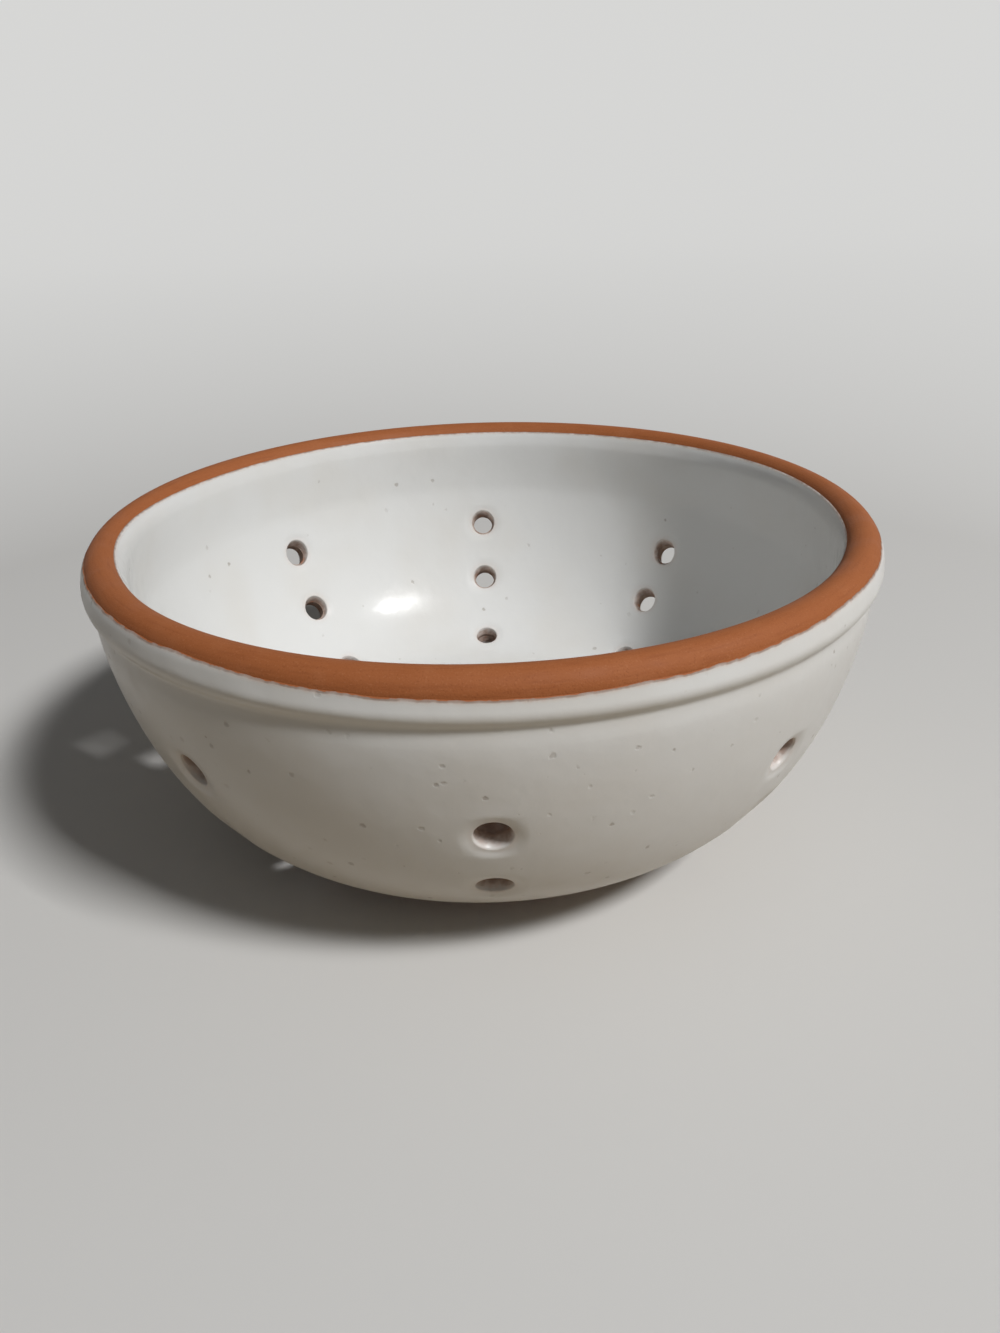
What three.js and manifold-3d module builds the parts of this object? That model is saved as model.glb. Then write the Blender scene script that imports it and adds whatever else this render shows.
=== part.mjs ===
// Ceramic berry bowl: a wheel-thrown terracotta bowl, pierced with drain holes and glazed white
// inside and outside. The lip is wiped bare and the foot ring is left bare.
// Millimetres, +Z up. The origin is the middle of the foot on the table, and +Z is the wheel's axis.

import * as THREE from 'three';
import { mergeVertices } from 'three/addons/utils/BufferGeometryUtils.js';
import Module from 'manifold-3d';

const wasm = await Module();
wasm.setup();

// Clay body
const HEIGHT = 68; // table to the top of the lip
const RIM_RADIUS = 80; // outside of the bare lip
const LIP_WIDTH = 6.9; // across the lip's round section
const LIP_ROUND = 3.55; // height of the round on top of the lip
const BEAD_DROP = 5.6; // top of the lip to the end of the upright bead
const GROOVE_DROP = 9.5; // top of the lip to the turned groove
const GROOVE_INSET = 2.6; // groove in from the bead
const SHOULDER_DROP = 12.4; // top of the lip to the shoulder, where the belly starts
const SHOULDER_INSET = 1.5; // shoulder in from the bead
const BELLY_UPPER_PULL = 4.5; // how far the belly runs straight down from the shoulder
const BELLY_LOWER_PULL = 30.7; // how far the belly runs level out of the foot
const WALL = 4.3; // thickness of the thrown wall
const THROAT_DROP = 14; // top of the lip to where the wall thickens into the lip
const FLOOR = 5.2; // thickness of the floor in the middle
const FLOOR_DISH = 0.6; // middle of the floor below its edge

// Foot ring, turned from the same clay
const FOOT_RADIUS = 42;
const FOOT_HEIGHT = 6.7; // table to the belly
const FOOT_FLARE = 0.8; // foot wider at its top
const FOOT_WIDTH = 6; // across the flat that rests on the table
const FOOT_EDGE = 0.6; // softened edges of that flat

// Glaze, a fired coat on each side
const GLAZE = 0.5; // thickness of a coat
const GLAZE_SEAT = 0.3; // clearance between a coat and the clay
const INSIDE_BARE = 1.75; // bare lip, down its inner side
const OUTSIDE_BARE = 2.6; // bare lip, down its outer side
const FOOT_BARE = 2.5; // bare clay on the belly around the foot

// Drain holes, pierced by hand in straight columns
const HOLE_COLUMNS = 8;
const HOLE_BORE = 5.8; // clear width through the glaze
const HOLE_SLANT = 10; // degrees, how much steeper a hole falls than square to the wall
const UPPER_ROW = 17.5; // shoulder to the upper row, along the belly
const MIDDLE_ROW = 34; // shoulder to the middle row, along the belly
const LOWER_ROW = 11; // foot to the lower row, along the belly
// Holes off their marks: degrees round the bowl, and distance down the belly
const OFF_MARK = {
  upper_2: { turn: 0.8, slide: 3.4 },
  middle_2: { turn: 2.4, slide: 1.7 },
  upper_6: { turn: 2.5, slide: -2 },
  upper_8: { turn: -2.7, slide: -1.2 },
};

// Facets
const TURN_STEPS = 40;
const HOLE_SIDES = 10;
const WALL_STEPS = 6;
const LIP_STEPS = 3;
const EASE_STEPS = 2;
const BORER_OVERRUN = 2; // the borer past both faces of the wall

const terracotta = new THREE.MeshStandardMaterial({ color: 0xa5613f, roughness: 0.75, metalness: 0 });
const whiteGlaze = new THREE.MeshStandardMaterial({ color: 0xe6e3db, roughness: 0.3, metalness: 0 });

// Section of the bowl, as points (radius, height)

const point = (radius, height) => new THREE.Vector2(radius, height);

// A smooth run between two points that leaves and arrives straight up or down
function upright(from, to) {
  const middle = (from.y + to.y) / 2;
  return new THREE.CubicBezierCurve(from, point(from.x, middle), point(to.x, middle), to);
}

// A smooth run between two points that leaves and arrives level
function level(from, to) {
  const middle = (from.x + to.x) / 2;
  return new THREE.CubicBezierCurve(from, point(middle, from.y), point(middle, to.y), to);
}

// Points along a curve, each with the direction out of the clay
function stations(curve, steps) {
  const list = [];
  for (let i = 0; i <= steps; i++) {
    const tangent = curve.getTangentAt(i / steps);
    list.push({ at: curve.getPointAt(i / steps), out: point(-tangent.y, tangent.x) });
  }
  return list;
}

// Stretches joined end to end, with the shared points kept once
function join(...stretches) {
  return stretches.flatMap((stretch, i) => (i === 0 ? stretch : stretch.slice(1)));
}

// The same line, moved out of the clay
function offset(line, distance) {
  return line.map(({ at, out }) => at.clone().addScaledVector(out, distance));
}

// The part of a line where a measure of its points is above zero, on a line that crosses zero once
function trimmed(line, measure) {
  const kept = line.filter(({ at }) => measure(at) > 0);
  const startsKept = measure(line[0].at) > 0;
  const next = startsKept ? kept.length : line.length - kept.length;
  const [a, b] = [line[next - 1], line[next]];
  const share = measure(a.at) / (measure(a.at) - measure(b.at));
  const end = {
    at: a.at.clone().lerp(b.at, share),
    out: a.out.clone().lerp(b.out, share).normalize(),
  };
  return startsKept ? [...kept, end] : [end, ...kept];
}

const lipMiddle = point(RIM_RADIUS - LIP_WIDTH / 2, HEIGHT - LIP_ROUND);
const lipSide = point(RIM_RADIUS, lipMiddle.y);
const lipInside = point(RIM_RADIUS - LIP_WIDTH, lipMiddle.y);
const bead = point(RIM_RADIUS, HEIGHT - BEAD_DROP);
const groove = point(RIM_RADIUS - GROOVE_INSET, HEIGHT - GROOVE_DROP);
const shoulder = point(RIM_RADIUS - SHOULDER_INSET, HEIGHT - SHOULDER_DROP);
const footTop = point(FOOT_RADIUS + FOOT_FLARE, FOOT_HEIGHT);

const bellyCurve = new THREE.CubicBezierCurve(
  shoulder,
  point(shoulder.x, shoulder.y - BELLY_UPPER_PULL),
  point(footTop.x + BELLY_LOWER_PULL, footTop.y),
  footTop,
);
const belly = stations(bellyCurve, WALL_STEPS);

function lipArc(fromAngle, toAngle) {
  const arc = new THREE.EllipseCurve(
    lipMiddle.x, lipMiddle.y, LIP_WIDTH / 2, LIP_ROUND, fromAngle, toAngle, true,
  );
  return stations(arc, LIP_STEPS);
}

// Outside of the clay, from the top of the lip down to the foot
const outside = join(
  lipArc(Math.PI / 2, 0),
  stations(new THREE.LineCurve(lipSide, bead), 1),
  stations(upright(bead, groove), EASE_STEPS),
  stations(upright(groove, shoulder), EASE_STEPS),
  belly,
);

// Inside of the clay, from the middle of the floor up to the top of the lip: one wall's thickness
// in from the belly, up to the throat, where it swells into the lip
const wallInside = belly
  .map(({ at, out }) => ({
    at: at.clone().addScaledVector(out, -WALL),
    out: out.clone().negate(),
  }))
  .reverse();
const wallBelowThroat = trimmed(wallInside, (at) => HEIGHT - THROAT_DROP - at.y);
const throat = wallBelowThroat[wallBelowThroat.length - 1].at;
const floorEdge = wallInside[0].at;
const floorMiddle = point(0, floorEdge.y - FLOOR_DISH);
const inside = join(
  stations(level(floorMiddle, floorEdge), EASE_STEPS),
  wallBelowThroat,
  stations(upright(throat, lipInside), EASE_STEPS),
  lipArc(Math.PI, Math.PI / 2),
);

// Foot ring and underside of the clay, from the belly in to the axis
const undersideHeight = floorMiddle.y - FLOOR;
const footInside = FOOT_RADIUS - FOOT_WIDTH;
const foot = [
  point(FOOT_RADIUS, FOOT_EDGE),
  point(FOOT_RADIUS - FOOT_EDGE, 0),
  point(footInside + FOOT_EDGE, 0),
  point(footInside, FOOT_EDGE),
  point(footInside - FOOT_FLARE, undersideHeight),
  point(0, undersideHeight),
];

// Solids

// A section turned on the wheel, with +Z as its axis
function turned(section) {
  const geometry = new THREE.LatheGeometry([...section].reverse(), TURN_STEPS);
  geometry.rotateX(Math.PI / 2);
  return solidOf(geometry);
}

// A closed mesh as a solid that can be cut, without the collapsed triangles on an axis
function solidOf(geometry) {
  geometry.deleteAttribute('normal');
  geometry.deleteAttribute('uv');
  const merged = mergeVertices(geometry, 1e-3);
  const index = merged.index.array;
  const triangles = [];
  for (let i = 0; i < index.length; i += 3) {
    const [a, b, c] = index.subarray(i, i + 3);
    if (a !== b && b !== c && c !== a) triangles.push(a, b, c);
  }
  return new wasm.Manifold(new wasm.Mesh({
    numProp: 3,
    vertProperties: new Float32Array(merged.attributes.position.array),
    triVerts: new Uint32Array(triangles),
  }));
}

function meshOf(solid, name, material) {
  const { vertProperties, triVerts } = solid.getMesh();
  const geometry = new THREE.BufferGeometry();
  geometry.setAttribute('position', new THREE.BufferAttribute(vertProperties, 3));
  geometry.setIndex(new THREE.BufferAttribute(triVerts, 1));
  geometry.computeVertexNormals();
  const mesh = new THREE.Mesh(geometry, material);
  mesh.name = name;
  return mesh;
}

const GLAZED = GLAZE_SEAT + GLAZE; // clay to the face of a coat

// A coat of glaze over a line of the clay, as a closed section
function coatSection(line) {
  const seat = offset(line, GLAZE_SEAT);
  const face = offset(line, GLAZED);
  return [...face, ...seat.reverse(), face[0]];
}

// Drain holes

const glazedThickness = WALL + 2 * GLAZED;
const liningRadius = HOLE_BORE / 2 + GLAZE;
const boredRadius = liningRadius + GLAZE_SEAT;
const bellyLength = bellyCurve.getLength();
const rowPlaces = {
  upper: UPPER_ROW / bellyLength,
  middle: MIDDLE_ROW / bellyLength,
  lower: 1 - LOWER_ROW / bellyLength,
};

// A shape that stands on its own Y axis, put through the middle of the wall at a share of the belly's
// length, with its ends flush and its axis leaning down the wall, and turned about the wheel's axis
function throughWall(geometry, { place, turn }) {
  const tangent = bellyCurve.getTangentAt(place);
  const onBelly = bellyCurve.getPointAt(place);
  const down = new THREE.Vector3(tangent.x, 0, tangent.y);
  const out = new THREE.Vector3(-tangent.y, 0, tangent.x);
  const middle = new THREE.Vector3(onBelly.x, 0, onBelly.y).addScaledVector(out, -WALL / 2);
  const lean = Math.tan(THREE.MathUtils.degToRad(HOLE_SLANT));
  const stand = new THREE.Matrix4()
    .makeBasis(down, out.addScaledVector(down, lean), new THREE.Vector3(0, -1, 0))
    .setPosition(middle);
  return solidOf(geometry.applyMatrix4(stand).rotateZ(turn));
}

const holes = [];
for (const [row, place] of Object.entries(rowPlaces)) {
  for (let column = 0; column < HOLE_COLUMNS; column++) {
    const name = `${row}_${column + 1}`;
    const { turn, slide } = OFF_MARK[name] ?? { turn: 0, slide: 0 };
    holes.push({
      name,
      place: place + slide / bellyLength,
      turn: THREE.MathUtils.degToRad((column * 360) / HOLE_COLUMNS + turn),
    });
  }
}

// Clay or a coat with every hole bored through it
function pierced(solid) {
  const length = glazedThickness + 2 * BORER_OVERRUN;
  return holes.reduce((left, hole) => {
    const borer = new THREE.CylinderGeometry(boredRadius, boredRadius, length, HOLE_SIDES);
    return left.subtract(throughWall(borer, hole));
  }, solid);
}

// The glaze that lines a hole, flush with the coats on both sides of the wall
function holeLining(hole) {
  const end = glazedThickness / 2;
  const sleeve = [
    point(HOLE_BORE / 2, -end),
    point(liningRadius, -end),
    point(liningRadius, end),
    point(HOLE_BORE / 2, end),
    point(HOLE_BORE / 2, -end),
  ];
  return throughWall(new THREE.LatheGeometry(sleeve, HOLE_SIDES), hole);
}

// Bowl

const bowl = new THREE.Group();

const claySection = [
  ...join(inside, outside).map(({ at }) => at),
  ...foot,
];
bowl.add(meshOf(pierced(turned(claySection)), 'clay_body', terracotta));

const insideCoat = trimmed(inside, (at) => HEIGHT - INSIDE_BARE - at.y);
bowl.add(meshOf(pierced(turned(coatSection(insideCoat))), 'inside_glaze', whiteGlaze));

const belowLip = trimmed(outside, (at) => HEIGHT - OUTSIDE_BARE - at.y);
const outsideCoat = trimmed(belowLip, (at) => at.x - footTop.x - FOOT_BARE);
bowl.add(meshOf(pierced(turned(coatSection(outsideCoat))), 'outside_glaze', whiteGlaze));

for (const hole of holes) {
  bowl.add(meshOf(holeLining(hole), `hole_lining_${hole.name}`, whiteGlaze));
}

export default bowl;
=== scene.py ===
# Ceramic berry bowl, dressed over its CAD frame. Metres, +Z up, the origin in the middle of the foot.

from math import cos, pi, radians, sin

import bmesh
import bpy
import numpy as np
from mathutils import Matrix, Vector


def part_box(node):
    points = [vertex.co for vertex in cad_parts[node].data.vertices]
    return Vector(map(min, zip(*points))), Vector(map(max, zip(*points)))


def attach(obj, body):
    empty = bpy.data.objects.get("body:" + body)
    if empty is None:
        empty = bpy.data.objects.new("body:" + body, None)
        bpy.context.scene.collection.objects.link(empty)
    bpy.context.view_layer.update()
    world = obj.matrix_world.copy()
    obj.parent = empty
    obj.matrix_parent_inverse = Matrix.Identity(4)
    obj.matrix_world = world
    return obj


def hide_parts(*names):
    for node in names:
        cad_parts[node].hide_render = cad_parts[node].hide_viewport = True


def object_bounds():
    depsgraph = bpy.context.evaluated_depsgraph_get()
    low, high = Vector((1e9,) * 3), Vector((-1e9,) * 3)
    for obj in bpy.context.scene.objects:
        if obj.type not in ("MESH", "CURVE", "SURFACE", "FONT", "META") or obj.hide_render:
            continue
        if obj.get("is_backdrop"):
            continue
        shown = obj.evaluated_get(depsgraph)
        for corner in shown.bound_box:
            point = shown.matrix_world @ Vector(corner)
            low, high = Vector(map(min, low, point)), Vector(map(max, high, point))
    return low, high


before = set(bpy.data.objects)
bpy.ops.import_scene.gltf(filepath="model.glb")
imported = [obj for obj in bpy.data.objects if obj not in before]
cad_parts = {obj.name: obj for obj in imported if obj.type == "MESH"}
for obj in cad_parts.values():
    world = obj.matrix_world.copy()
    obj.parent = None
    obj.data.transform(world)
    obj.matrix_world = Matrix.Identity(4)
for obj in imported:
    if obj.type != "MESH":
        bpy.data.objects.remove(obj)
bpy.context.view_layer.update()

# Clay body
# Red earthenware, thrown on the wheel as one wall, turned to a foot ring, and pierced while still
# soft enough to cut. The lip is wiped clean of glaze and the foot is kept bare, so clay shows there.

MM = 0.001
_, clay_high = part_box("clay_body")
HEIGHT = clay_high[2]
RIM_RADIUS = clay_high[0]
LIP_WIDTH = 6.9 * MM
LIP_ROUND = 3.55 * MM
BEAD_DROP = 5.6 * MM
GROOVE_DROP = 9.5 * MM
GROOVE_INSET = 2.6 * MM
SHOULDER_DROP = 12.4 * MM
SHOULDER_INSET = 1.5 * MM
BELLY_UPPER_PULL = 4.5 * MM
BELLY_LOWER_PULL = 30.7 * MM
WALL = 4.3 * MM
THROAT_DROP = 18 * MM
FLOOR = 5.2 * MM
FLOOR_DISH = 0.6 * MM
FOOT_RADIUS = 42 * MM
FOOT_HEIGHT = 6.7 * MM
FOOT_FLARE = 0.8 * MM
FOOT_WIDTH = 6 * MM
FOOT_EDGE = 0.6 * MM
ROW_SLANTS = {"upper": radians(18), "middle": radians(11), "lower": radians(10)}
BORED_RADIUS = 3.75 * MM
BORED_ROLL = 0.3 * MM
CLAY_DIMPLE = 0.3 * MM
DIMPLE_REACH = 2.2 * MM
LOWER_FLARE = 0.3
HOLE_COLUMNS = 8

SECTION_STEPS = 96
BELLY_STEPS = 400
LIP_STEPS = 64
BEAD_STEPS = 32
CORNER_STEPS = 8
SAME_PLACE = 1e-7
MERGE_WITHIN = 1e-6

TURN_FACETS = 256
ROW_STEP = 1.5 * MM
FINE_ROW_STEP = 0.4 * MM
PATCH_CELLS = 8
PATCH_CORNER = -0.75 * pi
MOUTH_RINGS = 5
ROLL_RINGS = 4
FLARE_RINGS = 4
FLARE_CURVE = 1.5
MOUTH_EDGE_DEPTH = 0.3
MOUTH_EDGE_CURVE = 3
MOUTH_DEPTH_CURVE = 0.4


def pulled(start, first_pull, second_pull, end, steps=SECTION_STEPS):
    """A smooth run of points from start to end, drawn towards two pulls."""
    t = np.linspace(0, 1, steps)[:, None]
    corners = [np.array(corner) for corner in (start, first_pull, second_pull, end)]
    weights = [(1 - t) ** 3, 3 * t * (1 - t) ** 2, 3 * t**2 * (1 - t), t**3]
    return sum(weight * corner for weight, corner in zip(weights, corners))


def upright(start, end):
    """A run that leaves and arrives straight up or down."""
    middle = (start[1] + end[1]) / 2
    return pulled(start, (start[0], middle), (end[0], middle), end)


def level(start, end):
    """A run that leaves and arrives level."""
    middle = (start[0] + end[0]) / 2
    return pulled(start, (middle, start[1]), (middle, end[1]), end)


class SectionLine:
    """A line of the bowl's section, as (radius, height) measured along its length, with the
    direction that points out of the clay."""

    def __init__(self, *runs):
        points = np.vstack(runs)
        steps = np.linalg.norm(np.diff(points, axis=0), axis=1)
        self.points = points[np.append(True, steps > SAME_PLACE)]
        steps = np.linalg.norm(np.diff(self.points, axis=0), axis=1)
        self.lengths = np.append(0, np.cumsum(steps))
        self.length = self.lengths[-1]
        tangent = np.gradient(self.points, self.lengths, axis=0)
        tangent /= np.linalg.norm(tangent, axis=1)[:, None]
        self.out = np.column_stack([-tangent[:, 1], tangent[:, 0]])

    def at(self, along):
        """Point and outward direction at a length along the line."""
        columns = (*self.points.T, *self.out.T)
        return [np.interp(along, self.lengths, column) for column in columns]

    def nearest(self, radius, height):
        """Length along the line of its point nearest to a place."""
        return self.lengths[np.argmin(np.hypot(*(self.points - (radius, height)).T))]

    def crossing(self, measure):
        """Length along the line where a measure of its points passes from minus to plus."""
        return self.lengths[np.argmax(measure(*self.points.T) > 0)]


lip_middle = (RIM_RADIUS - LIP_WIDTH / 2, HEIGHT - LIP_ROUND)
lip_side = (RIM_RADIUS, lip_middle[1])
lip_inside = (RIM_RADIUS - LIP_WIDTH, lip_middle[1])
bead = (RIM_RADIUS, HEIGHT - BEAD_DROP)
groove = (RIM_RADIUS - GROOVE_INSET, HEIGHT - GROOVE_DROP)
shoulder = (RIM_RADIUS - SHOULDER_INSET, HEIGHT - SHOULDER_DROP)
foot_top = (FOOT_RADIUS + FOOT_FLARE, FOOT_HEIGHT)


def lip_arc(start_angle, end_angle):
    """The rounded top of the lip between two angles, from the outside at 0 to the inside at pi."""
    angles = np.linspace(start_angle, end_angle, LIP_STEPS)
    radius = lip_middle[0] + LIP_WIDTH / 2 * np.cos(angles)
    return np.column_stack([radius, lip_middle[1] + LIP_ROUND * np.sin(angles)])


belly_run = pulled(
    shoulder,
    (shoulder[0], shoulder[1] - BELLY_UPPER_PULL),
    (foot_top[0] + BELLY_LOWER_PULL, foot_top[1]),
    foot_top,
    steps=BELLY_STEPS,
)
belly = SectionLine(belly_run)
inner_wall = (belly.points - WALL * belly.out)[::-1]
inner_wall = inner_wall[inner_wall[:, 1] < HEIGHT - THROAT_DROP]
floor_edge = inner_wall[0]
floor_middle = (0, floor_edge[1] - FLOOR_DISH)
underside_height = floor_middle[1] - FLOOR
foot_inside = FOOT_RADIUS - FOOT_WIDTH

outside_line = SectionLine(
    lip_arc(pi / 2, 0),
    np.linspace(lip_side, bead, BEAD_STEPS),
    upright(bead, groove),
    upright(groove, shoulder),
    belly_run,
)
inside_line = SectionLine(
    level(floor_middle, floor_edge),
    inner_wall,
    upright(inner_wall[-1], lip_inside),
    lip_arc(pi, pi / 2),
)


def eased(start, corner, end):
    """A turned corner, softened from start to end."""
    return pulled(start, corner, corner, end, steps=CORNER_STEPS)


foot_line = SectionLine(
    np.array([foot_top]),
    eased((FOOT_RADIUS, FOOT_EDGE), (FOOT_RADIUS, 0), (FOOT_RADIUS - FOOT_EDGE, 0)),
    eased((foot_inside + FOOT_EDGE, 0), (foot_inside, 0), (foot_inside, FOOT_EDGE)),
    np.array([(foot_inside - FOOT_FLARE, underside_height), (0, underside_height)]),
)

LINING_NODES = [
    f"hole_lining_{row}_{column}" for row in ROW_SLANTS for column in range(1, HOLE_COLUMNS + 1)
]
holes = []
for node in LINING_NODES:
    row = node.split("_")[2]
    slant = ROW_SLANTS[row]
    low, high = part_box(node)
    middle = (Vector(low) + Vector(high)) / 2
    radius = Vector((middle.x, middle.y)).length
    _, _, out_radius, out_height = belly.at(belly.nearest(radius, middle.z))
    slanted_radius = out_radius * cos(slant) + out_height * sin(slant)
    slanted_height = out_height * cos(slant) - out_radius * sin(slant)
    turn = np.arctan2(middle.y, middle.x)
    facing = np.array([cos(turn), sin(turn), 0])
    holes.append(
        {
            "turn": turn,
            "middle": np.array(middle),
            "axis": slanted_radius * facing + np.array([0, 0, slanted_height]),
            "across": np.array([-sin(turn), cos(turn), 0]),
            "climb": -slanted_height * facing + np.array([0, 0, slanted_radius]),
            "lean": cos(slant),
            "flare": LOWER_FLARE if row == "lower" else 1.0,
        }
    )


def smooth_step(value):
    """A share from 0 to 1 that leaves and arrives gently."""
    value = np.clip(value, 0, 1)
    return value * value * (3 - 2 * value)


def spread(start, end, step):
    """Even marks from start up to end, without the end."""
    return np.linspace(start, end, max(1, round((end - start) / step)) + 1)[:-1]


def wall_rows(start, end, fine_until=None, fine_from=None):
    """Marks along a line for its rows of facets, finer near an end where that is asked for."""
    fine_until = start if fine_until is None else fine_until
    fine_from = end if fine_from is None else fine_from
    marks = spread(fine_until, fine_from, ROW_STEP)
    if fine_until > start:
        marks = np.append(spread(start, fine_until, FINE_ROW_STEP), marks)
    if fine_from < end:
        marks = np.append(marks, spread(fine_from, end, FINE_ROW_STEP))
    return np.append(marks, end)


def on_wheel(line, along, turn, rise):
    """Points of a turned line, raised out of the clay."""
    radius, height, out_radius, out_height = line.at(along)
    radius = radius + rise * out_radius
    return np.stack(
        [radius * np.cos(turn), radius * np.sin(turn), height + rise * out_height], axis=-1
    )


def grid_quads(index, keep):
    """Faces between the rows of a turned sheet that point out of the clay."""
    ahead = np.roll(index, -1, axis=1)
    quads = np.stack([index[:-1], index[1:], ahead[1:], ahead[:-1]], axis=-1)
    return quads[keep].tolist()


def pierced_sheet(line, along, rise, side, bore, flare, roll, stop, dimple):
    """One side of the wall, with every hole's mouth rolled in and flared down to its bore.

    along holds each row's marks round the wheel. side is 1 where the line climbs and -1 where it
    falls. stop is where the bore ends, from the middle of the wall. Returns points, faces, each
    point's mark along the line, and how far it is into a mouth, from 0 to 1."""
    rows, turns = along.shape
    step = 2 * pi / turns
    turn = np.arange(turns) * step
    points = [on_wheel(line, along, turn[None, :], rise(along)).reshape(-1, 3)]
    marks = [along.ravel()]
    depths = [np.zeros(rows * turns)]
    index = np.arange(rows * turns).reshape(rows, turns)
    keep = np.ones((rows - 1, turns), dtype=bool)
    faces = []
    count = rows * turns
    half = PATCH_CELLS // 2
    sides = 4 * PATCH_CELLS
    ring_angles = PATCH_CORNER + 2 * pi * np.arange(sides) / sides

    for hole in holes:
        hole_flare = flare * hole["flare"]
        mouth = bore + hole_flare + roll
        mouth_across = mouth * np.cos(ring_angles)
        mouth_up = mouth * np.sin(ring_angles) / hole["lean"]
        axis = -side * hole["axis"]
        middle_radius = np.hypot(*hole["middle"][:2])
        lift = rise(np.array([line.nearest(middle_radius, hole["middle"][2])]))[0]
        at_face = hole["middle"] + axis * (WALL / 2 + lift) / hole["lean"]
        radius = np.hypot(*at_face[:2])
        centre = line.nearest(radius, at_face[2])
        first = int(np.argmin(np.abs(along[:, 0] - centre))) - half
        first_column = round(hole["turn"] / step) - half
        patch_rows = np.arange(first, first + PATCH_CELLS + 1)
        columns = np.arange(first_column, first_column + PATCH_CELLS + 1)
        keep[np.ix_(patch_rows[:-1], columns[:-1] % turns)] = False
        climbing = patch_rows[::side]
        border = [(climbing[0], column) for column in columns[:-1]]
        border += [(patch_row, columns[-1]) for patch_row in climbing[:-1]]
        border += [(climbing[-1], column) for column in columns[:0:-1]]
        border += [(patch_row, columns[0]) for patch_row in climbing[:0:-1]]
        border_rows, border_columns = np.array(border).T
        across = (border_columns * step - hole["turn"]) * radius
        up = side * (along[border_rows, border_columns % turns] - centre)
        halo = min(mouth + DIMPLE_REACH, np.hypot(across, up).min())

        rings = [index[border_rows, border_columns % turns]]
        for share in np.arange(1, MOUTH_RINGS + 1) / MOUTH_RINGS:
            ring_across = across + (mouth_across - across) * share
            ring_up = up + (mouth_up - up) * share
            ring_along = centre + side * ring_up
            ring_turn = hole["turn"] + ring_across / radius
            near = (halo - np.hypot(ring_across, ring_up)) / (halo - mouth)
            sunk = rise(ring_along) - dimple * smooth_step(near)
            ring_points = on_wheel(line, ring_along, ring_turn, sunk)
            points.append(ring_points)
            marks.append(ring_along)
            depths.append(MOUTH_EDGE_DEPTH * np.clip(near, 0, 1) ** MOUTH_EDGE_CURVE)
            rings.append(np.arange(count, count + sides))
            count += sides

        from_middle = ring_points - hole["middle"]
        mouth_height = from_middle @ axis
        beside, above = from_middle @ hole["across"], from_middle @ hole["climb"]
        mouth_width = np.hypot(beside, above)
        spokes = np.outer(beside, hole["across"]) + np.outer(above, hole["climb"])
        spokes /= mouth_width[:, None]
        roll_in = mouth_width - hole_flare - bore
        rolled = [
            (mouth_width - roll_in * sin(bend), mouth_height - roll_in * (1 - cos(bend)), 0)
            for bend in np.linspace(0, pi / 2, ROLL_RINGS + 1)[1:]
        ]
        roll_height = rolled[-1][1]
        for share in np.arange(1, FLARE_RINGS + 1) / FLARE_RINGS:
            flared = np.full(sides, bore + hole_flare * (1 - share**FLARE_CURVE))
            rolled.append((flared, roll_height + (stop - roll_height) * share, share))
        for ring_width, ring_height, share in rolled:
            points.append(
                hole["middle"] + spokes * ring_width[:, None] + np.outer(ring_height, axis)
            )
            marks.append(ring_along)
            # Deeper into the tunnel the glaze is marked browner and darker: partly thinner glaze over
            # the clay, partly painted shade inside the hole.
            depth = MOUTH_EDGE_DEPTH + (1 - MOUTH_EDGE_DEPTH) * share**MOUTH_DEPTH_CURVE
            depths.append(np.full(sides, depth))
            rings.append(np.arange(count, count + sides))
            count += sides
        for outer, inner in zip(rings, rings[1:]):
            quads = np.column_stack([outer, np.roll(outer, -1), np.roll(inner, -1), inner])
            faces.extend(quads[:, :: -side].tolist())

    faces.extend(grid_quads(index, keep))
    return np.vstack(points), faces, np.concatenate(marks), np.concatenate(depths)


def flat_rows(marks):
    """The same marks all round the wheel."""
    return np.repeat(marks[:, None], TURN_FACETS, axis=1)


def new_piece(name, points, faces, thin=None):
    """A mesh piece from points and faces, with doubles merged and what is not used left out."""
    mesh = bpy.data.meshes.new(name)
    mesh.from_pydata(points.tolist(), [], faces)
    if thin is not None:
        mesh.attributes.new("thin", "FLOAT", "POINT").data.foreach_set("value", thin)
    work = bmesh.new()
    work.from_mesh(mesh)
    bmesh.ops.remove_doubles(work, verts=work.verts, dist=MERGE_WITHIN)
    loose = [vert for vert in work.verts if not vert.link_faces]
    bmesh.ops.delete(work, geom=loose, context="VERTS")
    work.to_mesh(mesh)
    work.free()
    mesh.shade_smooth()
    piece = bpy.data.objects.new(name, mesh)
    bpy.context.scene.collection.objects.link(piece)
    return piece


def bare(along):
    """No coat over the clay."""
    return np.zeros_like(along)


def foot_sheet():
    """Foot ring and underside, which no hole goes through."""
    marks = np.unique(
        np.concatenate([foot_line.lengths, np.arange(0, foot_line.length, ROW_STEP)])
    )
    turn = np.arange(TURN_FACETS) * 2 * pi / TURN_FACETS
    along = flat_rows(marks)
    points = on_wheel(foot_line, along, turn[None, :], bare(along)).reshape(-1, 3)
    index = np.arange(len(points)).reshape(along.shape)
    keep = np.ones((len(marks) - 1, TURN_FACETS), dtype=bool)
    return points, grid_quads(index, keep)


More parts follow.
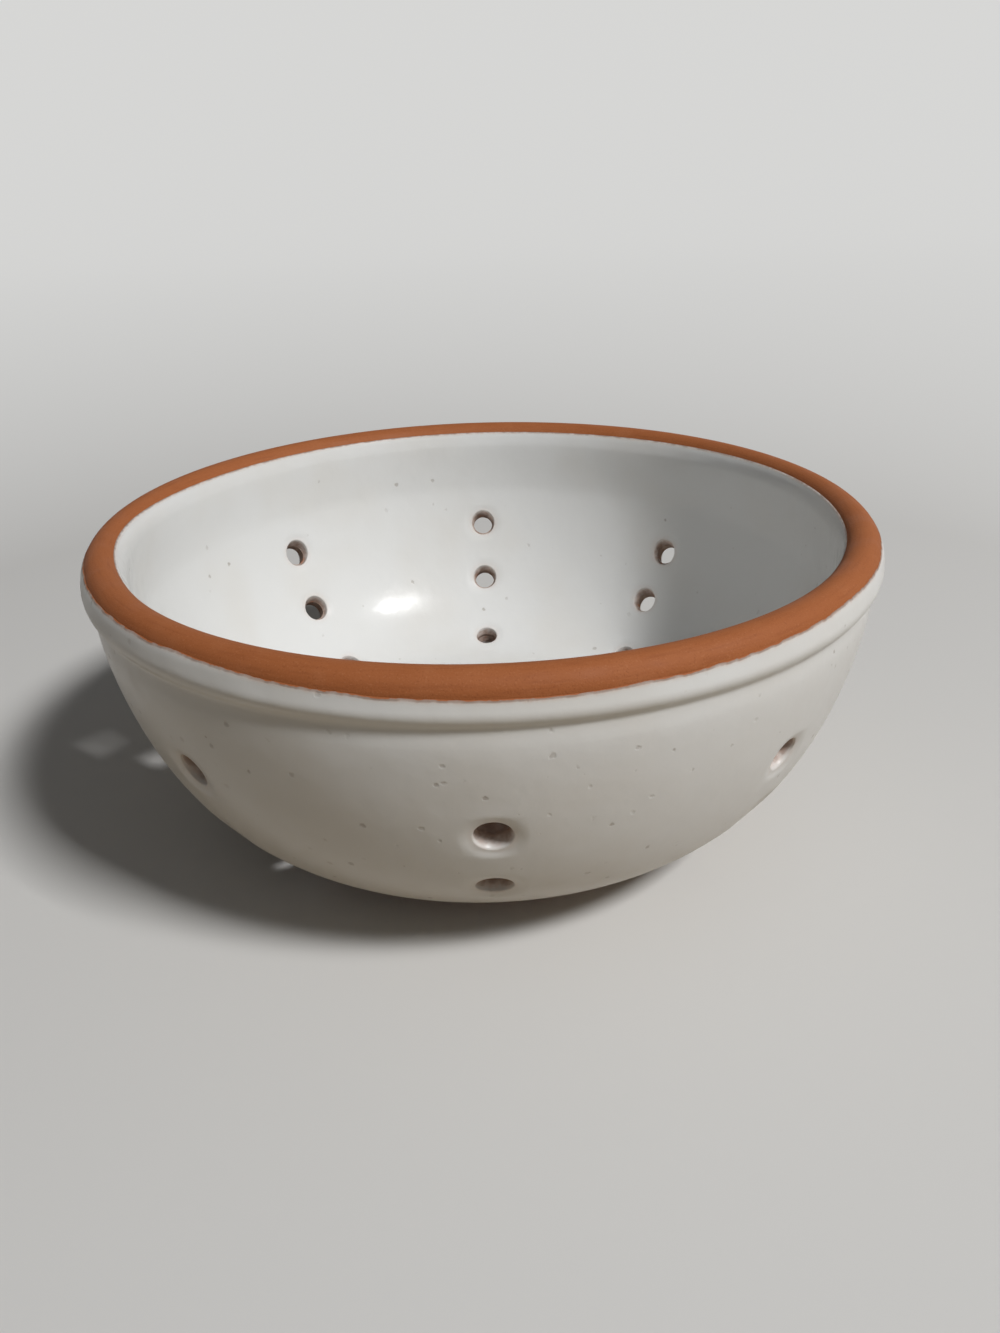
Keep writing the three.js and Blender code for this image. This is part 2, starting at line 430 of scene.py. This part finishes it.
lip_start = inside_line.crossing(lambda r, z: z - lip_middle[1])
shoulder_mark = outside_line.nearest(*shoulder)
inside_rows = wall_rows(0, inside_line.length, fine_from=lip_start)
outside_rows = wall_rows(0, outside_line.length, fine_until=shoulder_mark)
bored = dict(bore=BORED_RADIUS, flare=0, roll=BORED_ROLL, stop=0, dimple=CLAY_DIMPLE)
clay_sheets = [
    pierced_sheet(inside_line, flat_rows(inside_rows), bare, side=1, **bored)[:2],
    pierced_sheet(outside_line, flat_rows(outside_rows), bare, side=-1, **bored)[:2],
    foot_sheet(),
]
clay_points = np.vstack([points for points, _ in clay_sheets])
clay_faces = []
first_point = 0
for points, faces in clay_sheets:
    clay_faces.extend([[first_point + corner for corner in face] for face in faces])
    first_point += len(points)
clay = new_piece("bowl_clay", clay_points, clay_faces)


class Finish:
    """A material's node tree, with short ways to add the nodes that these finishes use."""

    def __init__(self, name):
        self.material = bpy.data.materials.new(name)
        self.material.use_nodes = True
        self.tree = self.material.node_tree
        self.shader = self.tree.nodes["Principled BSDF"]
        self.place = self.node("TexCoord").outputs["Object"]

    def node(self, kind, settings=(), **wires):
        """A node of one kind, with its settings and what is wired to it."""
        node = self.tree.nodes.new("ShaderNode" + kind)
        for key, value in dict(settings).items():
            setattr(node, key, value)
        for socket, value in wires.items():
            self.wire(node.inputs[socket.replace("_", " ")], value)
        return node

    def wire(self, socket, value):
        """Join a socket to another one, or give it a value."""
        if isinstance(value, bpy.types.NodeSocket):
            self.tree.links.new(value, socket)
        else:
            socket.default_value = value

    def noise(self, fineness, detail=3.0, place=None):
        """A cloudy pattern, smaller where its fineness is higher."""
        node = self.node("TexNoise", Vector=place or self.place, Scale=fineness, Detail=detail)
        return node.outputs["Fac"]

    def span(self, value, low, high, out_low=0.0, out_high=1.0):
        """A value between low and high, eased to a share from out_low to out_high."""
        node = self.node(
            "MapRange",
            {"interpolation_type": "SMOOTHSTEP"},
            Value=value,
            From_Min=low,
            From_Max=high,
            To_Min=out_low,
            To_Max=out_high,
        )
        return node.outputs["Result"]

    def combine(self, operation, first, second):
        """One number worked out from two."""
        node = self.node("Math", {"operation": operation})
        self.wire(node.inputs[0], first)
        self.wire(node.inputs[1], second)
        return node.outputs[0]

    def blend(self, share, first, second):
        """One colour over another, by a share."""
        node = self.node("Mix", {"data_type": "RGBA"})
        self.wire(node.inputs[0], share)
        self.wire(node.inputs[6], first)
        self.wire(node.inputs[7], second)
        return node.outputs[2]

    def bump(self, height, depth, under=None):
        """Relief of a given depth, laid over another relief where there is one."""
        node = self.node("Bump", Height=height, Distance=depth, Strength=1.0)
        if under is not None:
            self.wire(node.inputs["Normal"], under)
        return node.outputs["Normal"]

    def turned_place(self, stretch):
        """Coordinates that run along the wheel's turning, so that a pattern on them becomes rings."""
        parts = self.node("SeparateXYZ", Vector=self.place)
        flat = self.node("CombineXYZ", X=parts.outputs["X"], Y=parts.outputs["Y"])
        radius = self.node("VectorMath", {"operation": "LENGTH"}, Vector=flat.outputs[0])
        angle = self.combine("ARCTAN2", parts.outputs["Y"], parts.outputs["X"])
        around = self.combine("MULTIPLY", angle, stretch)
        rings = self.node(
            "CombineXYZ", X=radius.outputs["Value"], Y=parts.outputs["Z"], Z=around
        )
        return rings.outputs[0]


TERRACOTTA_DARK = (0.27, 0.076, 0.024, 1)
TERRACOTTA = (0.39, 0.124, 0.040, 1)
TERRACOTTA_PALE = (0.48, 0.185, 0.080, 1)
TERRACOTTA_SHINE = 0.25
RING_FINENESS = 1500
RING_STRETCH = 0.006
RING_DEPTH = 0.05 * MM
BLOTCH_FINENESS = 150
GRAIN_FINENESS = 3400
GRAIN_DEPTH = 0.04 * MM

terracotta = Finish("terracotta")
rings = terracotta.noise(RING_FINENESS, detail=4, place=terracotta.turned_place(RING_STRETCH))
blotches = terracotta.noise(BLOTCH_FINENESS)
grains = terracotta.noise(GRAIN_FINENESS, detail=2)
dark_rings = terracotta.span(rings, low=0.5, high=0.25, out_high=0.35)
pale_blotches = terracotta.span(blotches, low=0.45, high=0.8, out_high=0.3)
pale_grains = terracotta.span(grains, low=0.58, high=0.75, out_high=0.55)
dark_grains = terracotta.span(grains, low=0.42, high=0.27, out_high=0.5)
dullness = terracotta.span(blotches, low=0.3, high=0.7, out_low=0.6, out_high=0.75)
tone = terracotta.blend(dark_rings, TERRACOTTA, TERRACOTTA_DARK)
tone = terracotta.blend(pale_blotches, tone, TERRACOTTA_PALE)
tone = terracotta.blend(pale_grains, tone, TERRACOTTA_PALE)
tone = terracotta.blend(dark_grains, tone, TERRACOTTA_DARK)
ring_bump = terracotta.bump(rings, RING_DEPTH)
grain_bump = terracotta.bump(grains, GRAIN_DEPTH, ring_bump)
terracotta.wire(terracotta.shader.inputs["Base Color"], tone)
terracotta.wire(terracotta.shader.inputs["Roughness"], dullness)
terracotta.wire(terracotta.shader.inputs["Specular IOR Level"], TERRACOTTA_SHINE)
terracotta.wire(terracotta.shader.inputs["Normal"], grain_bump)

clay.data.materials.append(terracotta.material)
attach(clay, "root")
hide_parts("clay_body")

# Inside glaze
# A white earthenware glaze, poured in and swirled over the floor and wall, then wiped off the lip
# with a sponge, which left it a little higher at two places. It rolls over into the holes.

GLAZED = 0.8 * MM
COAT_THICKNESS = 0.42 * MM
HOLE_BORE = 5.3 * MM
INSIDE_FLARE = 0.6 * MM
MOUTH_ROLL = 0.3 * MM
INSIDE_DIMPLE = 0.25 * MM
COAT_STOP = 0.75 * MM
INSIDE_BARE = 1.95 * MM
INSIDE_CLIMBS = ((radians(187), radians(24), 1.0 * MM), (radians(15), radians(28), 0.5 * MM))
WIPE_FADE = 6 * MM
EDGE_START = 0.02 * MM
EDGE_ROLL = 0.14 * MM
INSIDE_EDGE_ROLL = 0.03 * MM
EDGE_ROLL_LENGTH = 0.35 * MM
EDGE_TAPER = 4.0 * MM
INSIDE_EDGE_REACH = 0.9 * MM
INSIDE_EDGE_THIN = 0.78
# How brown the glaze turns down the holes: partly thin glaze over the clay, partly painted shade in
# the tunnels.
MOUTH_THIN_AND_SHADE = 0.8


def coat_rise(from_edge, edge_roll):
    """Height of a coat's face over the clay: a small round roll at its edge, then a slow build-up."""
    rolled = edge_roll * (1 - np.exp(-np.maximum(from_edge, 0) / EDGE_ROLL_LENGTH))
    built = (GLAZED - EDGE_START - edge_roll) * smooth_step(from_edge / EDGE_TAPER)
    return EDGE_START + rolled + built


def edge_thin(from_edge, reach):
    """How thin the glaze looks by its distance from a wiped edge."""
    return 1 - smooth_step(from_edge / reach)


def add_coat(name, points, faces, thin):
    """A coat of glaze, closed to its thickness on the side of the clay."""
    coat = new_piece(name, points, faces, thin)
    closing = coat.modifiers.new("thickness", "SOLIDIFY")
    closing.thickness = COAT_THICKNESS
    closing.offset = -1
    graph = bpy.context.evaluated_depsgraph_get()
    closed = bpy.data.meshes.new_from_object(coat.evaluated_get(graph))
    coat.modifiers.clear()
    coat.data = closed
    closed.name = name
    return coat


def wandered(marks, edge):
    """Rows that follow an edge as it wanders round the wheel, and run level again away from it."""
    fade = 1 - smooth_step(np.abs(marks - edge.mean()) / WIPE_FADE)
    return marks[:, None] + (edge - edge.mean())[None, :] * fade[:, None]


def stroke(turn, middle, width):
    """Strength of one stroke of the sponge round the wheel, 1 in its middle and fading to its ends."""
    away = (turn - middle + pi) % (2 * pi) - pi
    return np.exp(-((away / width) ** 2))


turn = np.arange(TURN_FACETS) * 2 * pi / TURN_FACETS
inside_drop = np.full(TURN_FACETS, INSIDE_BARE)
for climb_turn, climb_width, climb in INSIDE_CLIMBS:
    inside_drop -= climb * stroke(turn, climb_turn, climb_width)
on_lip = inside_line.points[:, 1] > lip_middle[1]
inside_wipe = np.interp(
    HEIGHT - inside_drop, inside_line.points[on_lip, 1], inside_line.lengths[on_lip]
)
inside_edge = inside_wipe.mean()
inside_marks = wall_rows(0, inside_edge, fine_from=inside_edge - EDGE_TAPER)
inside_along = wandered(inside_marks, inside_wipe)


def inside_rise(along):
    """Face of the inside coat, thin at the wiped edge that wanders."""
    edge = inside_wipe[None, :] if along.ndim == 2 else inside_edge
    return coat_rise(edge - along, INSIDE_EDGE_ROLL)


points, faces, marks, mouths = pierced_sheet(
    inside_line,
    inside_along,
    inside_rise,
    side=1,
    bore=HOLE_BORE / 2,
    flare=INSIDE_FLARE,
    roll=MOUTH_ROLL,
    stop=COAT_STOP,
    dimple=INSIDE_DIMPLE,
)
from_edge = inside_edge - marks
from_edge[: inside_along.size] = (inside_wipe[None, :] - inside_along).ravel()
inside_thin = INSIDE_EDGE_THIN * edge_thin(from_edge, INSIDE_EDGE_REACH) + MOUTH_THIN_AND_SHADE * mouths
inside_coat = add_coat("bowl_inside_glaze", points, faces, inside_thin)

GLAZE_WHITE = (0.78, 0.78, 0.765, 1)
GLAZE_CREAM = (0.75, 0.735, 0.70, 1)
GLAZE_OVER_CLAY = (0.64, 0.46, 0.37, 1)
GLAZE_FILM_AND_HOLE_SHADE = (0.27, 0.17, 0.125, 1)
SPECK_BROWN = (0.26, 0.20, 0.15, 1)
CLOUD_FINENESS = 40
BREAK_FINENESS = 900
FRINGE_FINENESS = 520
SPECK_FINENESS = 300.0
SPECK_WARP = 0.9 * MM
SPECK_WARP_FINENESS = 900.0
GLOSS_FINENESS = 260
WAVE_FINENESS = 85
WAVE_DEPTH = 0.25 * MM
PEEL_FINENESS = 450
PEEL_DEPTH = 0.03 * MM
PINHOLE_DEPTH = 0.05 * MM


def white_glaze(name, speck_share, shine, gloss_low, gloss_high):
    """Satin white glaze: almost even, pinker where the clay shows through a thin film, brown and
    darker down the holes, where that colour is partly painted shade, and pricked with a few pinholes
    and specks of iron."""
    coat = Finish(name)
    clouds = coat.noise(CLOUD_FINENESS, detail=2)
    cream = coat.span(clouds, low=0.4, high=0.7, out_high=0.7)
    tone = coat.blend(cream, GLAZE_WHITE, GLAZE_CREAM)
    thin = coat.node("Attribute", {"attribute_name": "thin"}).outputs["Fac"]
    breaks = coat.noise(BREAK_FINENESS)
    broken = coat.span(breaks, low=0.3, high=0.65, out_low=0.4, out_high=0.9)
    tone = coat.blend(coat.combine("MULTIPLY", thin, broken), tone, GLAZE_OVER_CLAY)
    fringe = coat.noise(FRINGE_FINENESS, detail=2)
    fringe = coat.span(fringe, low=0.3, high=0.7, out_low=-0.12, out_high=0.1)
    ragged = coat.combine("ADD", thin, fringe)
    # Dark brown film where the glaze is thinnest: the clay showing at the wiped edges, and in the
    # holes also painted shade.
    tone = coat.blend(coat.span(ragged, low=0.4, high=0.85, out_high=0.8), tone, GLAZE_FILM_AND_HOLE_SHADE)
    tone = coat.blend(coat.span(ragged, low=0.86, high=0.93), tone, TERRACOTTA)

    drift = coat.node("TexNoise", Vector=coat.place, Scale=SPECK_WARP_FINENESS, Detail=2.0)
    warped = coat.node("VectorMath", {"operation": "MULTIPLY_ADD"}, Vector=drift.outputs["Color"])
    warped.inputs[1].default_value = (SPECK_WARP, SPECK_WARP, SPECK_WARP)
    coat.wire(warped.inputs[2], coat.place)
    cells = coat.node(
        "TexVoronoi", Vector=warped.outputs[0], Scale=SPECK_FINENESS, Randomness=1.0
    )
    lot = coat.node("SeparateColor", Color=cells.outputs["Color"])
    size_lot, shade_lot = lot.outputs[0], lot.outputs[1]
    size = coat.span(size_lot, low=1 - speck_share, high=1, out_low=0.04, out_high=0.22)
    within = coat.combine("SUBTRACT", size, cells.outputs["Distance"])
    speck = coat.span(within, low=0, high=0.12)
    shade = coat.span(shade_lot, low=0, high=1, out_low=0.08, out_high=0.5)
    tone = coat.blend(coat.combine("MULTIPLY", speck, shade), tone, SPECK_BROWN)

    gloss = coat.noise(GLOSS_FINENESS)
    gloss = coat.span(gloss, low=0.3, high=0.7, out_low=gloss_low, out_high=gloss_high)
    dull = coat.span(thin, low=0.1, high=0.95, out_high=0.4)
    waves = coat.bump(coat.noise(WAVE_FINENESS, detail=2), WAVE_DEPTH)
    peel = coat.bump(coat.noise(PEEL_FINENESS, detail=2), PEEL_DEPTH, waves)
    pitted = coat.bump(coat.combine("SUBTRACT", 1.0, speck), PINHOLE_DEPTH, peel)
    coat.wire(coat.shader.inputs["Base Color"], tone)
    coat.wire(coat.shader.inputs["Specular IOR Level"], shine)
    coat.wire(coat.shader.inputs["Roughness"], coat.combine("ADD", gloss, dull))
    coat.wire(coat.shader.inputs["Normal"], pitted)
    return coat.material


inside_glaze = white_glaze(
    "white_glaze_inside", speck_share=0.2, shine=0.19, gloss_low=0.2, gloss_high=0.265
)
inside_coat.data.materials.append(inside_glaze)
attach(inside_coat, "root")
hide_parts("inside_glaze")

# Outside glaze
# The same glaze on the bead, the groove and the belly, down to a wax line around the foot. Its upper
# edge is wiped by hand with a sponge, so it wanders, and the clay shines through where it is thin.

OUTSIDE_BARE = 1.75 * MM
WIPE_DIP = 1.75 * MM
WIPE_DIP_TURN = radians(275)
WIPE_DIP_WIDTH = radians(34)
WIPE_SCALLOP = 0.07 * MM
WIPE_SEED = 7
WIPE_WAVES = (5, 9, 13, 21, 34, 47, 63)
WIPE_WAVE_SIZES = (0.5, 1.0)
WIPE_FULL_WAVES = 9
WIPE_WAVE_FALL = 0.35
FOOT_BARE = 2.5 * MM
FOOT_ROLL = 1.4 * MM
FOOT_EDGE_THIN = 0.8
FRINGE_REACH = 1.0 * MM
GROOVE_POOL = 1.0 * MM
OUTSIDE_FLARE = 0.6 * MM
OUTSIDE_DIMPLE = 0.45 * MM

pooled_groove = (groove[0] + GROOVE_POOL, groove[1])
glazed_line = SectionLine(
    lip_arc(pi / 2, 0),
    np.linspace(lip_side, bead, BEAD_STEPS),
    upright(bead, pooled_groove),
    upright(pooled_groove, shoulder),
    belly_run,
)
wipe_drop = OUTSIDE_BARE + WIPE_DIP * stroke(turn, WIPE_DIP_TURN, WIPE_DIP_WIDTH)
scallop_rng = np.random.default_rng(WIPE_SEED)
for waves_round in WIPE_WAVES:
    phase = scallop_rng.uniform(0, 2 * pi)
    size_share = scallop_rng.uniform(*WIPE_WAVE_SIZES)
    size_share *= (WIPE_FULL_WAVES / waves_round) ** WIPE_WAVE_FALL
    wipe_drop += WIPE_SCALLOP * size_share * np.sin(waves_round * turn + phase)
wipe_edge = np.array(
    [glazed_line.crossing(lambda r, z: HEIGHT - drop - z) for drop in wipe_drop]
)
top_edge = wipe_edge.mean()
foot_edge = glazed_line.crossing(
    lambda r, z: np.where(z < HEIGHT / 2, foot_top[0] + FOOT_BARE - r, -1)
)
outside_marks = wall_rows(
    top_edge,
    foot_edge,
    fine_until=glazed_line.nearest(*shoulder),
    fine_from=foot_edge - FOOT_ROLL,
)
outside_along = wandered(outside_marks, wipe_edge)


def outside_rise(along):
    """Face of the outside coat, rolled at the wax line and at the wiped edge that wanders."""
    from_top = along - (wipe_edge[None, :] if along.ndim == 2 else top_edge)
    return np.minimum(
        coat_rise(from_top, EDGE_ROLL), coat_rise(foot_edge - along, EDGE_ROLL)
    )


points, faces, marks, mouths = pierced_sheet(
    glazed_line,
    outside_along,
    outside_rise,
    side=-1,
    bore=HOLE_BORE / 2,
    flare=OUTSIDE_FLARE,
    roll=MOUTH_ROLL,
    stop=COAT_STOP,
    dimple=OUTSIDE_DIMPLE,
)
from_top = marks - top_edge
from_top[: outside_along.size] = (outside_along - wipe_edge[None, :]).ravel()
outside_thin = edge_thin(from_top, FRINGE_REACH) + MOUTH_THIN_AND_SHADE * mouths
outside_thin += FOOT_EDGE_THIN * edge_thin(foot_edge - marks, FRINGE_REACH)
outside_coat = add_coat("bowl_outside_glaze", points, faces, np.clip(outside_thin, 0, 1))
outside_glaze = white_glaze(
    "white_glaze_outside", speck_share=1.0, shine=0.4, gloss_low=0.285, gloss_high=0.36
)
outside_coat.data.materials.append(outside_glaze)
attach(outside_coat, "root")
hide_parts("outside_glaze")

# Hole linings
# Glaze that ran into the drain holes and fired as a sleeve on the bored clay, in straight columns
# of three round the wall. One sleeve is set along the slant of every hole.

# The sleeves' brown tone is partly the clay under a thin glaze and partly painted shade inside the
# holes.
LINING_INSET = 0.02 * MM
LINING_LAP = 0.3 * MM
LINING_SIDES = 40
# How brown and dark the sleeves are: thin glaze over the clay, plus painted shade down the tunnels.
LINING_THIN_AND_SHADE = 0.8
LINING_CREASE = radians(40)

seats = bpy.data.meshes.new("bowl_hole_linings")
seats.from_pydata([hole["middle"].tolist() for hole in holes], [], [])
seats.attributes.new("axis", "FLOAT_VECTOR", "POINT").data.foreach_set(
    "vector", np.concatenate([hole["axis"] for hole in holes])
)
linings = bpy.data.objects.new("bowl_hole_linings", seats)
bpy.context.scene.collection.objects.link(linings)

sleeve_tree = bpy.data.node_groups.new("hole_linings", "GeometryNodeTree")
sleeve_sockets = {}
for socket_name, socket_type in (
    ("Holes", "NodeSocketGeometry"),
    ("Bore Radius", "NodeSocketFloat"),
    ("Lining Thickness", "NodeSocketFloat"),
    ("Lining Length", "NodeSocketFloat"),
    ("Sides", "NodeSocketInt"),
    ("Thinness and Shade", "NodeSocketFloat"),
    ("Glaze", "NodeSocketMaterial"),
):
    sleeve_sockets[socket_name] = sleeve_tree.interface.new_socket(
        socket_name, in_out="INPUT", socket_type=socket_type
    )
sleeve_tree.interface.new_socket("Linings", in_out="OUTPUT", socket_type="NodeSocketGeometry")


def sleeve_node(kind, settings=(), **wires):
    """A node of the sleeves' tree, with its settings and what is wired to it."""
    node = sleeve_tree.nodes.new(kind)
    for key, value in dict(settings).items():
        setattr(node, key, value)
    for socket, value in wires.items():
        socket = node.inputs[socket.replace("_", " ")]
        if isinstance(value, bpy.types.NodeSocket):
            sleeve_tree.links.new(value, socket)
        else:
            socket.default_value = value
    return node


def sleeve_math(operation, first, second):
    """One number of the sleeves' tree worked out from two."""
    node = sleeve_node("ShaderNodeMath", {"operation": operation})
    sleeve_tree.links.new(first, node.inputs[0])
    if isinstance(second, bpy.types.NodeSocket):
        sleeve_tree.links.new(second, node.inputs[1])
    else:
        node.inputs[1].default_value = second
    return node.outputs[0]


given = sleeve_node("NodeGroupInput").outputs
half_thickness = sleeve_math("MULTIPLY", given["Lining Thickness"], 0.5)
sleeve_path = sleeve_node(
    "GeometryNodeCurvePrimitiveCircle",
    Resolution=given["Sides"],
    Radius=sleeve_math("ADD", given["Bore Radius"], half_thickness),
)
sleeve_section = sleeve_node(
    "GeometryNodeCurvePrimitiveQuadrilateral",
    Width=given["Lining Thickness"],
    Height=given["Lining Length"],
)
sleeve = sleeve_node(
    "GeometryNodeCurveToMesh",
    Curve=sleeve_path.outputs["Curve"],
    Profile_Curve=sleeve_section.outputs[0],
)
hole_axis = sleeve_node(
    "GeometryNodeInputNamedAttribute", {"data_type": "FLOAT_VECTOR"}, Name="axis"
)
along_hole = sleeve_node(
    "FunctionNodeAlignRotationToVector", {"axis": "Z"}, Vector=hole_axis.outputs["Attribute"]
)
set_sleeves = sleeve_node(
    "GeometryNodeInstanceOnPoints",
    Points=given["Holes"],
    Instance=sleeve.outputs["Mesh"],
    Rotation=along_hole.outputs["Rotation"],
)
real_sleeves = sleeve_node(
    "GeometryNodeRealizeInstances", Geometry=set_sleeves.outputs["Instances"]
)
thin_sleeves = sleeve_node(
    "GeometryNodeStoreNamedAttribute",
    {"data_type": "FLOAT", "domain": "POINT"},
    Geometry=real_sleeves.outputs["Geometry"],
    Name="thin",
    Value=given["Thinness and Shade"],
)
glazed_sleeves = sleeve_node(
    "GeometryNodeSetMaterial",
    Geometry=thin_sleeves.outputs["Geometry"],
    Material=given["Glaze"],
)
sleeve_tree.links.new(
    glazed_sleeves.outputs["Geometry"], sleeve_node("NodeGroupOutput").inputs["Linings"]
)

lining_values = {
    "Bore Radius": HOLE_BORE / 2 + LINING_INSET,
    "Lining Thickness": COAT_THICKNESS,
    "Lining Length": 2 * (COAT_STOP + LINING_LAP),
    "Sides": LINING_SIDES,
    "Thinness and Shade": LINING_THIN_AND_SHADE,
    "Glaze": inside_glaze,
}
lining_maker = linings.modifiers.new("sleeves", "NODES")
lining_maker.node_group = sleeve_tree
for socket_name, value in lining_values.items():
    lining_maker[sleeve_sockets[socket_name].identifier] = value
graph = bpy.context.evaluated_depsgraph_get()
lining_mesh = bpy.data.meshes.new_from_object(linings.evaluated_get(graph))
linings.modifiers.clear()
linings.data = lining_mesh
lining_mesh.name = "bowl_hole_linings"
lining_mesh.shade_smooth()
lining_mesh.set_sharp_from_angle(angle=LINING_CREASE)
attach(linings, "root")
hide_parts(*LINING_NODES)

# Floor, light and camera
# A plain pale floor that sweeps up behind, one soft window to the right of the camera, and the
# camera where the photograph was taken from.

FLOOR_HALF = 3.0
SWEEP_START = 1.6
SWEEP_RADIUS = 1.0
SWEEP_STEPS = 24
FLOOR_FRONT = -3.0
FLOOR_TOP = 3.0
FLOOR_PALE = (0.72, 0.71, 0.69, 1)
FLOOR_BOUNCE = (0.34, 0.27, 0.18, 1)
BACKDROP_PALE = (0.72, 0.72, 0.71, 1)
FLOOR_ROUGHNESS = 0.85
FADE_START = 0.24

sweep = [(FLOOR_FRONT, 0.0)]
for step in range(SWEEP_STEPS + 1):
    bend = pi / 2 * step / SWEEP_STEPS
    sweep.append(
        (SWEEP_START + SWEEP_RADIUS * sin(bend), SWEEP_RADIUS * (1 - cos(bend)))
    )
sweep.append((SWEEP_START + SWEEP_RADIUS, FLOOR_TOP))
floor_points = [(x, y, z) for y, z in sweep for x in (-FLOOR_HALF, FLOOR_HALF)]
floor_faces = [(2 * i, 2 * i + 1, 2 * i + 3, 2 * i + 2) for i in range(len(sweep) - 1)]
floor_mesh = bpy.data.meshes.new("studio_floor")
floor_mesh.from_pydata(floor_points, [], floor_faces)
floor_mesh.shade_smooth()
floor = bpy.data.objects.new("studio_floor", floor_mesh)
bpy.context.scene.collection.objects.link(floor)
floor_finish = Finish("studio_floor")
floor_finish.wire(floor_finish.shader.inputs["Roughness"], FLOOR_ROUGHNESS)
distance = floor_finish.node("VectorMath", {"operation": "LENGTH"}, Vector=floor_finish.place)
near = floor_finish.combine("DIVIDE", FADE_START, distance.outputs["Value"])
far = floor_finish.combine("MAXIMUM", floor_finish.combine("SUBTRACT", 1.0, near), 0.0)
rays = floor_finish.node("LightPath").outputs
seen = floor_finish.combine("MAXIMUM", rays["Is Camera Ray"], rays["Is Glossy Ray"])
seen = floor_finish.combine("MAXIMUM", seen, rays["Is Transmission Ray"])
floor_tone = floor_finish.blend(seen, FLOOR_BOUNCE, FLOOR_PALE)
floor_finish.wire(floor_finish.shader.inputs["Base Color"], floor_tone)
pale = floor_finish.node("Emission", Color=BACKDROP_PALE, Strength=1.0)
ground = floor_finish.node("MixShader", Fac=floor_finish.combine("MULTIPLY", far, seen))
floor_finish.wire(ground.inputs[1], floor_finish.shader.outputs[0])
floor_finish.wire(ground.inputs[2], pale.outputs[0])
floor_output = floor_finish.tree.nodes["Material Output"]
floor_finish.wire(floor_output.inputs["Surface"], ground.outputs[0])
floor_mesh.materials.append(floor_finish.material)
floor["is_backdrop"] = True

AIR_TINT = (0.93, 0.96, 1.0, 1)
AIR_STRENGTH = 0.1

world = bpy.data.worlds.new("studio_air")
bpy.context.scene.world = world
world.use_nodes = True
air_tree = world.node_tree
air_light = air_tree.nodes["Background"]
air_light.inputs["Color"].default_value = AIR_TINT
air_light.inputs["Strength"].default_value = AIR_STRENGTH
air_seen = air_tree.nodes.new("ShaderNodeBackground")
air_seen.inputs["Color"].default_value = BACKDROP_PALE
air_rays = air_tree.nodes.new("ShaderNodeLightPath")
air_mix = air_tree.nodes.new("ShaderNodeMixShader")
air_tree.links.new(air_rays.outputs["Is Camera Ray"], air_mix.inputs[0])
air_tree.links.new(air_light.outputs[0], air_mix.inputs[1])
air_tree.links.new(air_seen.outputs[0], air_mix.inputs[2])
air_tree.links.new(air_mix.outputs[0], air_tree.nodes["World Output"].inputs["Surface"])

WINDOW_TURN = radians(-40)
WINDOW_CLIMB = radians(49)
WINDOW_DISTANCE = 2.6
WINDOW_WIDTH = 0.5
WINDOW_HEIGHT = 0.4
WINDOW_POWER = 54.0

window_lamp = bpy.data.lights.new("window", "AREA")
window_lamp.shape = "RECTANGLE"
window_lamp.size = WINDOW_WIDTH
window_lamp.size_y = WINDOW_HEIGHT
window_lamp.energy = WINDOW_POWER
window = bpy.data.objects.new("window", window_lamp)
window_way = Vector(
    (
        cos(WINDOW_CLIMB) * cos(WINDOW_TURN),
        cos(WINDOW_CLIMB) * sin(WINDOW_TURN),
        sin(WINDOW_CLIMB),
    )
)
window.location = Vector((0, 0, HEIGHT / 2)) + WINDOW_DISTANCE * window_way
window.rotation_euler = window_way.to_track_quat("Z", "Y").to_euler()
bpy.context.scene.collection.objects.link(window)

CAMERA_BACK = 200.9 * MM
CAMERA_UP = 130.1 * MM
CAMERA_PITCH = 0.464
CAMERA_YAW = 0.014
CAMERA_ROLL = -0.027
FRAME_HEIGHT = 1333
FOCAL_PIXELS = 981.4
SENSOR = 36.0
CAMERA_NEAR = 0.01

camera_data = bpy.data.cameras.new("camera")
camera_data.sensor_width = SENSOR
camera_data.lens = FOCAL_PIXELS * SENSOR / FRAME_HEIGHT
camera_data.clip_start = CAMERA_NEAR
camera = bpy.data.objects.new("camera", camera_data)
ahead = Vector(
    (
        sin(CAMERA_YAW) * cos(CAMERA_PITCH),
        cos(CAMERA_YAW) * cos(CAMERA_PITCH),
        -sin(CAMERA_PITCH),
    )
)
right = Vector((cos(CAMERA_YAW), -sin(CAMERA_YAW), 0))
above = right.cross(ahead)
right, above = (
    cos(CAMERA_ROLL) * right + sin(CAMERA_ROLL) * above,
    -sin(CAMERA_ROLL) * right + cos(CAMERA_ROLL) * above,
)
camera.matrix_world = Matrix.Translation((0, -CAMERA_BACK, CAMERA_UP)) @ Matrix(
    (right, above, -ahead)
).transposed().to_4x4()
bpy.context.scene.collection.objects.link(camera)
bpy.context.scene.camera = camera
bpy.context.scene.view_settings.view_transform = "Standard"

low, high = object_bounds()
